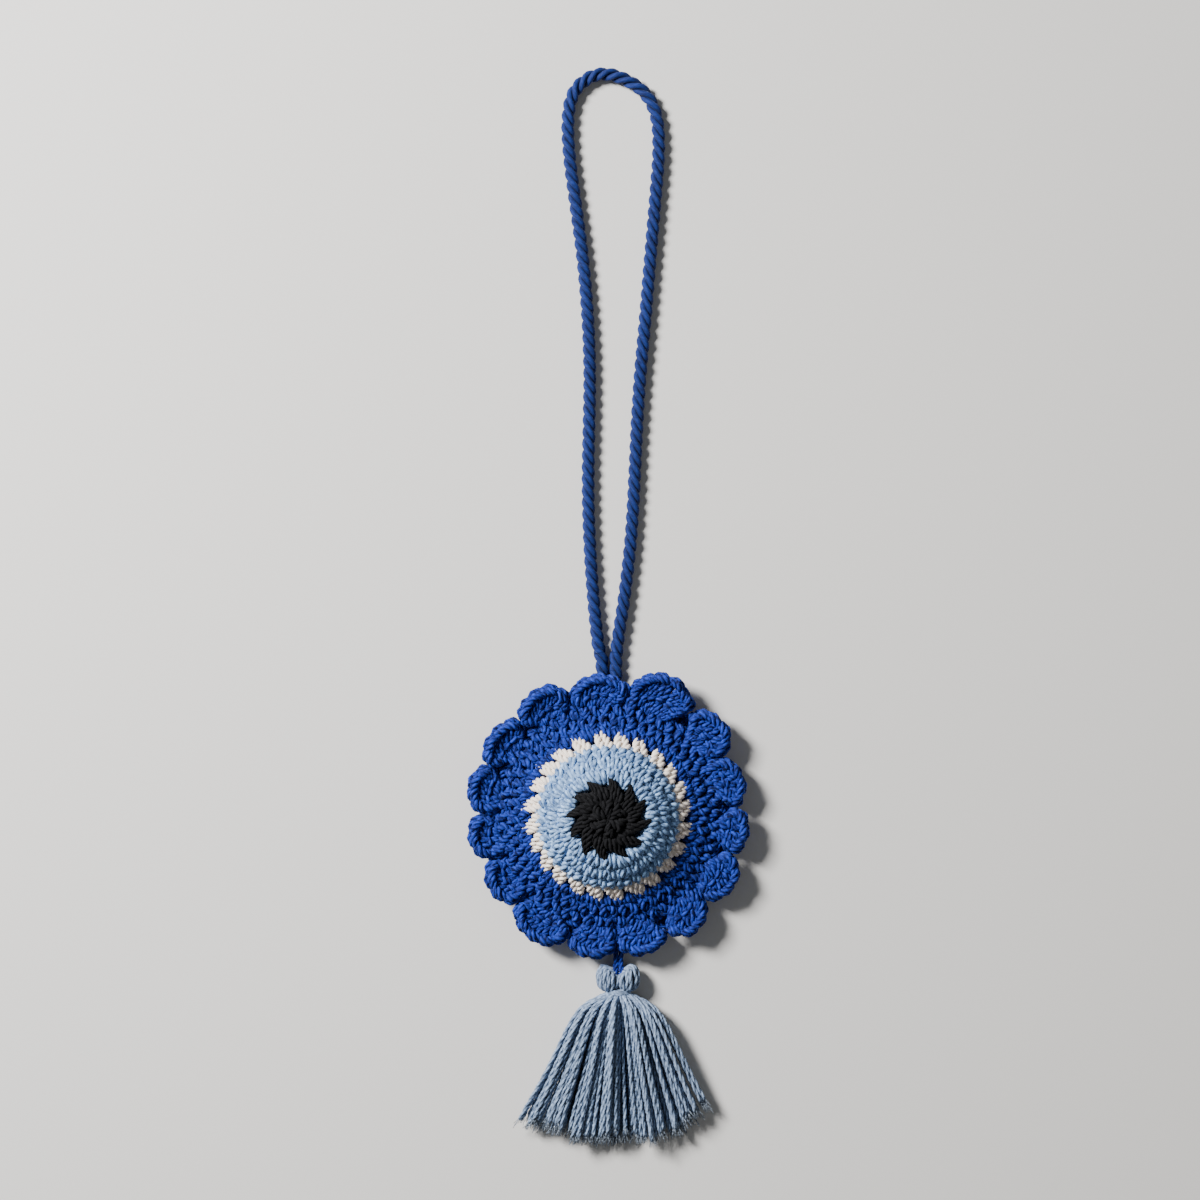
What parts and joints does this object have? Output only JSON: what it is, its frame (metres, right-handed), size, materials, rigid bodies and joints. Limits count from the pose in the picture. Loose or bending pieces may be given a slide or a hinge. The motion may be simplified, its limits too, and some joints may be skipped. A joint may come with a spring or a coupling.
{
  "type": "evil eye ornament",
  "caption": "Stuffed crocheted eye amulet with a scalloped border, a twisted cord hanging loop and a swinging yarn tassel.",
  "frame": {"origin": "centre of the back panel's resting face", "axes": "+Z out of the eye's face, +Y towards the hanging loop, +X to the right seen from the front"},
  "size_m": [0.0753, 0.2871, 0.0206],
  "materials": {
    "yarn_black": "soft matt black cotton yarn",
    "yarn_light_blue": "matt light-blue marled cotton yarn",
    "yarn_white": "matt cream-white cotton yarn",
    "yarn_royal_blue": "soft royal-blue cotton yarn with a slight sheen",
    "yarn_grey_blue": "matt grey-blue marled cotton yarn",
    "fibre_fill": "loose white fibre fill"
  },
  "bodies": {
    "eye": {"pupil_centre_round": "yarn_black", "pupil_outer_round": "yarn_black", "iris_inner_round": "yarn_light_blue", "iris_outer_round": "yarn_light_blue", "white_round": "yarn_white", "blue_inner_round": "yarn_royal_blue", "blue_outer_round": "yarn_royal_blue", "scallop_01": "yarn_royal_blue", "scallop_02": "yarn_royal_blue", "scallop_03": "yarn_royal_blue", "scallop_04": "yarn_royal_blue", "scallop_05": "yarn_royal_blue", "scallop_06": "yarn_royal_blue", "scallop_07": "yarn_royal_blue", "scallop_08": "yarn_royal_blue", "scallop_09": "yarn_royal_blue", "scallop_10": "yarn_royal_blue", "scallop_11": "yarn_royal_blue", "scallop_12": "yarn_royal_blue", "scallop_13": "yarn_royal_blue", "scallop_14": "yarn_royal_blue", "scallop_15": "yarn_royal_blue", "back_panel": "yarn_royal_blue", "stuffing": "fibre_fill", "cord_anchor": "yarn_royal_blue", "cord_knot": "yarn_royal_blue", "link_anchor": "yarn_royal_blue"},
    "loop_root": {"hang_cord_root": "yarn_royal_blue"},
    "hang_loop": {"hang_cord": "yarn_royal_blue"},
    "tassel_link": {"tassel_link": "yarn_royal_blue"},
    "tassel": {"tassel_head": "yarn_grey_blue", "tassel_neck_wrap": "yarn_grey_blue", "tassel_skirt": "yarn_grey_blue"}
  },
  "joints": [
    {"name": "loop_fold", "type": "hinge", "parent": "eye", "child": "loop_root", "pos_m": [0.0002, 0.0412, 0.00185], "axis": [1, 0, 0], "range_deg": [-90, 90]},
    {"name": "loop_sway", "type": "hinge", "parent": "loop_root", "child": "hang_loop", "pos_m": [-0.0001, 0.0457, 0.00185], "axis": [0, 0, 1], "range_deg": [-25, 25]},
    {"name": "tassel_fold", "type": "hinge", "parent": "eye", "child": "tassel_link", "pos_m": [0.0027, -0.0388, 0.004], "axis": [1, 0, 0], "range_deg": [-35, 75]},
    {"name": "tassel_swing", "type": "hinge", "parent": "tassel_link", "child": "tassel", "pos_m": [0.0027, -0.042, 0.004], "axis": [0, 0, 1], "range_deg": [-22, 22]}
  ]
}
